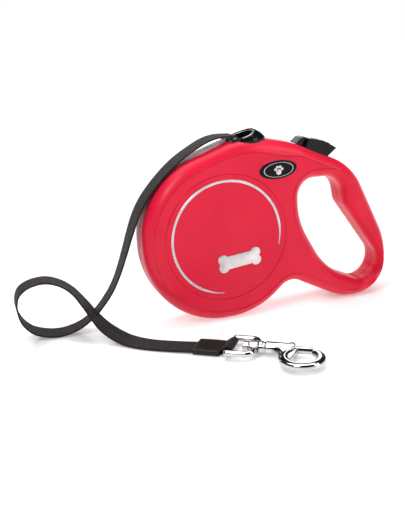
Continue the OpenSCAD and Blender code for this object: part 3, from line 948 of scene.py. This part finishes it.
def flat_bar(path, wide, high, taper):
    """A bar wider than it is high, lying flat, thinner towards its far end."""
    bm = bmesh.new()
    rings = []
    n = len(path)
    for i in range(n):
        way = (path[min(i + 1, n - 1)] - path[max(i - 1, 0)]).normalized()
        side = Vector((0, 0, 1)).cross(way)
        k = 1 - taper * max(0.0, i / (n - 1) - 0.7) / 0.3
        ring = []
        for j in range(28):
            a = 2 * math.pi * j / 28
            c, s = math.cos(a), math.sin(a)
            c, s = math.copysign(abs(c) ** 0.75, c), math.copysign(abs(s) ** 0.75, s)
            ring.append(at_hook(path[i] + side * wide * k * c + Vector((0, 0, 1)) * high * k * s))
        rings.append(ring)
    rings_mesh(bm, rings)
    return bm


def make_hook():
    """One casting: the shank, the bow that curls round from it, and the web between them."""
    collar = lathe([(3.9, 23.0), (4.7, 23.1), (4.9, 23.5), (4.9, 25.0), (4.7, 25.5), (4.1, 25.8),
                    (4.1, 27.4), (4.5, 27.8), (4.6, 28.2), (4.6, 46.8), (4.3, 47.6), (3.6, 48.0)],
                   at_hook, "X", 64)
    bow = []
    centre = Vector((55, -13.5, 0))
    for k in range(61):
        a = math.radians(120 + 300 * k / 60)
        bow.append(centre + Vector((math.cos(a), math.sin(a), 0)) * 12.4)

    arm = catmull([(33, -1.5, 0), (36.5, -4.0, 0), (40.0, -8.5, 0), (42.0, -13.0, 0), (43.0, -17.5, 0)], 6)
    web = prism([(34, -2), (50.5, -2.5), (49.6, -8), (49.2, -14), (47.5, -21), (42.5, -17), (38, -8)],
                -2.3, 2.3, lambda p: at_hook((p[0], p[2], p[1])))
    body = new_object("hook_casting", join(collar, flat_bar(bow, 3.6, 2.75, 0.18),
                                           flat_bar(arm, 3.0, 2.7, 0.0), web))
    remesh(body, 0.3, 6)
    cut(body, lathe([(2.6, 30), (2.6, 60)], at_hook, "X", 40),
        block((34, 46), (0, 10), (-1.4, 1.4), at_hook))
    body.data.shade_smooth()
    body.data.set_sharp_from_angle(angle=math.radians(45))
    finish_piece(body, "hook", "chrome", "chrome", "hook_body")


def make_plunger():
    plunger = lathe([(2.0, 38), (2.5, 38.5), (2.5, 59.0), (2.2, 59.8), (1.2, 60.2)], at_hook, "X", 48)
    finish_piece(new_object("gate_plunger", plunger), "plunger", "chrome", "chrome", "hook_plunger")


def make_knob():
    knob = lathe([(1.3, 2.5), (1.3, 5.6), (2.3, 5.7), (2.7, 6.1), (2.7, 7.3), (2.3, 7.9), (1.0, 8.0)],
                 lambda p: at_hook((p[0] + 44, p[1], p[2])), "Y", 48)
    finish_piece(new_object("gate_knob", knob), "plunger", "chrome", "chrome", "thumb_knob")


def make_spring(name, radius, wire, length, turns, place, body):
    """A coil along its own Z."""
    steps = 20 * turns
    path = []
    for k in range(steps + 1):
        a = 2 * math.pi * turns * k / steps
        path.append((radius * math.cos(a), radius * math.sin(a), wire + (length - 2 * wire) * k / steps))
    coil = new_object(name + "_coil", sweep(path, wire, place, 10))
    finish_piece(coil, body, "steel", "steel", name)
    foot = place((0, 0, 0))
    place((0, 0, 1)) - foot
    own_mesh(coil)


make_fold()
make_keeper()
make_stitches()
make_eye()
make_post()
make_hook()
make_plunger()
make_knob()
make_spring("button_spring", 3.1, 0.4, 10.4, 5, lambda p: at_seat((p[0] + 0.5, p[1], p[2] - 10.6)),
            "casing")
make_spring("plunger_spring", 1.9, 0.3, 7.5, 5, lambda p: at_hook((p[2] + 30.2, p[1], -p[0])),
            "hook")
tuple(TAPE_ROUTE[0][:3])
[tuple(p * MM) for p in tape_path]

# ---- Kept CAD nodes ----
KEPT = {
    "steel": ("case_screws", "roller_pin", "brake_pawl", "axle", "axle_clip", "spring_arbor",
              "power_spring", "tape_pin"),
    "bronze": ("front_bush", "rear_bush"),
    "satin_silver": ("guide_roller",),
    "black_matte": ("reel_drum", "reel_flange", "hub_lid"),
    "webbing": ("wound_tape", "inner_tape"),
}
for mat, nodes in KEPT.items():
    for node in nodes:
        mesh = bpy.data.objects[node].data
        mesh.materials.clear()
        mesh.materials.append(MATS[mat])


# ---- Stage ----
def make_stage():
    bm = bmesh.new()
    bmesh.ops.create_grid(bm, x_segments=2, y_segments=2, size=3000)
    ground = new_object("ground", bm, smooth=False)
    ground.data.materials.append(MATS["floor_paint"])
    ground.location.z = -0.0001
    world = bpy.data.worlds.new("studio")
    bpy.context.scene.world = world
    world.use_nodes = True
    tree = world.node_tree
    sky = tree.nodes["Background"]
    sky.inputs["Strength"].default_value = 1.0
    place = tree.nodes.new("ShaderNodeTexCoord")
    parts = tree.nodes.new("ShaderNodeSeparateXYZ")
    ramp = tree.nodes.new("ShaderNodeValToRGB")
    tree.links.new(place.outputs["Generated"], parts.inputs["Vector"])
    tree.links.new(parts.outputs["Z"], ramp.inputs["Fac"])
    tree.links.new(ramp.outputs["Color"], sky.inputs["Color"])
    ramp.color_ramp.elements[0].position = 0.07
    ramp.color_ramp.elements[0].color = (1.0, 1.0, 1.0, 1)
    ramp.color_ramp.elements[1].position = 0.17
    ramp.color_ramp.elements[1].color = (0.02, 0.02, 0.022, 1)

    def lamp(name, spot, aim, size, power):
        data = bpy.data.lights.new(name, "AREA")
        data.shape = "RECTANGLE"
        data.size, data.size_y = size
        data.energy = power
        obj = bpy.data.objects.new(name, data)
        obj.location = spot
        obj.rotation_mode = "QUATERNION"
        obj.rotation_quaternion = (Vector(aim) - Vector(spot)).to_track_quat("-Z", "Y")
        bpy.context.collection.objects.link(obj)

    lamp("key", (-0.75, -0.55, 0.95), (-0.05, 0, 0.06), (0.4, 0.6), 6.5)
    lamp("fill", (0.85, -0.9, 0.55), (0, 0, 0.05), (0.5, 0.7), 4)
    lamp("top", (0.0, 0.15, 1.0), (0, 0, 0.05), (1.1, 0.7), 8.5)
    lamp("back", (0.0, 1.2, 0.55), (0, 0, 0.05), (1.4, 0.4), 4)
    lamp("glint", (0.55, -0.35, 0.75), (0, 0, 0.08), (0.45, 0.05), 1.2)

make_stage()
scene = bpy.context.scene
scene.view_settings.view_transform = "Standard"
